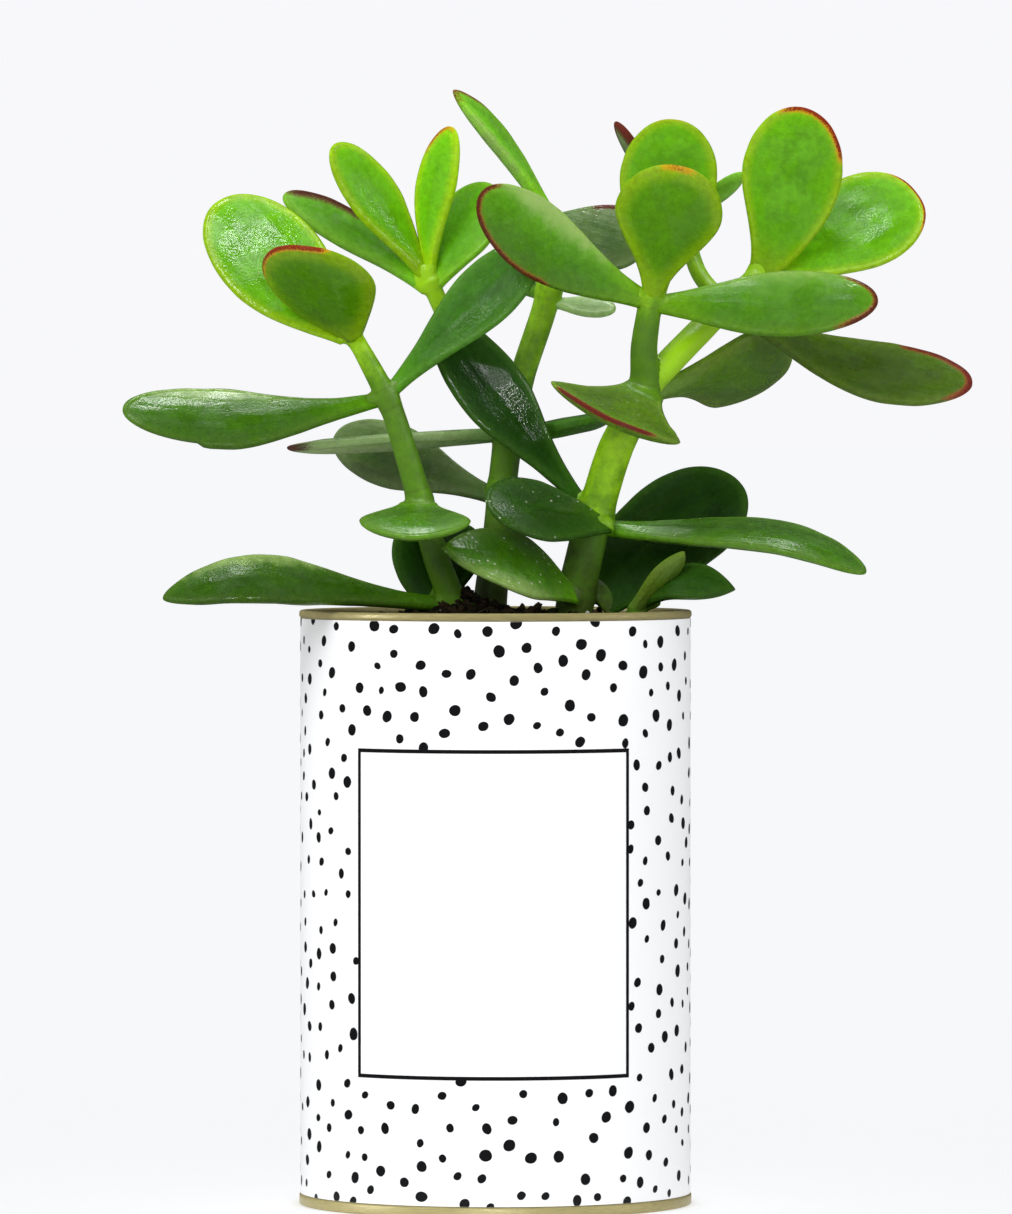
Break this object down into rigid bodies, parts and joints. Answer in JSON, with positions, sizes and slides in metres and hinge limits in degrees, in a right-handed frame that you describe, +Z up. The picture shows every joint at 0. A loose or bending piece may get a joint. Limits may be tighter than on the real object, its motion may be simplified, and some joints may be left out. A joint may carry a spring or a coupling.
{
  "type": "potted crassula",
  "caption": "Potted jade plant with fleshy oval leaves on branching green stems, growing in a round tin with a spotted paper label and a plain framed panel.",
  "frame": {"origin": "centre of the tin's underside, on the flat centre panel of the bottom end", "axes": "+Z up along the tin's axis, -Y towards the label's framed panel, +X to the right of it"},
  "size_m": [0.1574, 0.073, 0.2075],
  "materials": {
    "tin": "thin steel with a pale gold lacquer, satin",
    "label": "smooth white printed paper with scattered black ink spots and a black line frame",
    "soil": "dark moist potting soil, rough and crumbly",
    "stem": "smooth fleshy green bark, brighter towards the tips",
    "leaf_bright": "waxy lime green with a yellow and red margin, glossy",
    "leaf_green": "waxy mid green with a brown-red margin, glossy",
    "leaf_dark": "waxy dark green, glossy"
  },
  "bodies": {
    "root": {"tin_body": "tin", "tin_base": "tin", "paper_label": "label", "soil": "soil", "stem_left": "stem", "stem_middle": "stem", "stem_right": "stem", "stem_offshoot": "stem", "leaf_left_reach": "leaf_green", "leaf_left_inner": "leaf_dark", "leaf_left_top_back": "leaf_bright", "leaf_left_top_front": "leaf_bright", "leaf_left_mid_front": "leaf_green", "leaf_left_mid_back": "leaf_green", "leaf_left_foot_long": "leaf_green", "leaf_left_foot_small": "leaf_dark", "leaf_left_foot_inner": "leaf_dark", "leaf_middle_low_left": "leaf_green", "leaf_middle_low_right": "leaf_green", "leaf_middle_left": "leaf_green", "leaf_middle_right": "leaf_dark", "leaf_crown_left_up": "leaf_bright", "leaf_crown_right_up": "leaf_bright", "leaf_crown_left_out": "leaf_green", "leaf_crown_right_out": "leaf_green", "leaf_spear": "leaf_green", "leaf_spear_pair": "leaf_dark", "leaf_branch_small": "leaf_green", "leaf_branch_back": "leaf_green", "leaf_right_crossing": "leaf_dark", "leaf_right_low_left": "leaf_green", "leaf_right_low_right": "leaf_green", "leaf_right_foot_back": "leaf_dark", "leaf_right_foot_front": "leaf_green", "leaf_right_mid_back": "leaf_green", "leaf_right_mid_front": "leaf_green", "leaf_centre_left": "leaf_green", "leaf_centre_right": "leaf_green", "leaf_centre_front": "leaf_bright", "leaf_centre_back": "leaf_bright", "leaf_far_low": "leaf_green", "leaf_far_back": "leaf_green", "leaf_far_up": "leaf_bright", "leaf_far_side": "leaf_bright", "leaf_rear_left": "leaf_green", "leaf_rear_right": "leaf_green", "leaf_offshoot_up": "leaf_green", "leaf_offshoot_side": "leaf_green"}
  },
  "joints": []
}
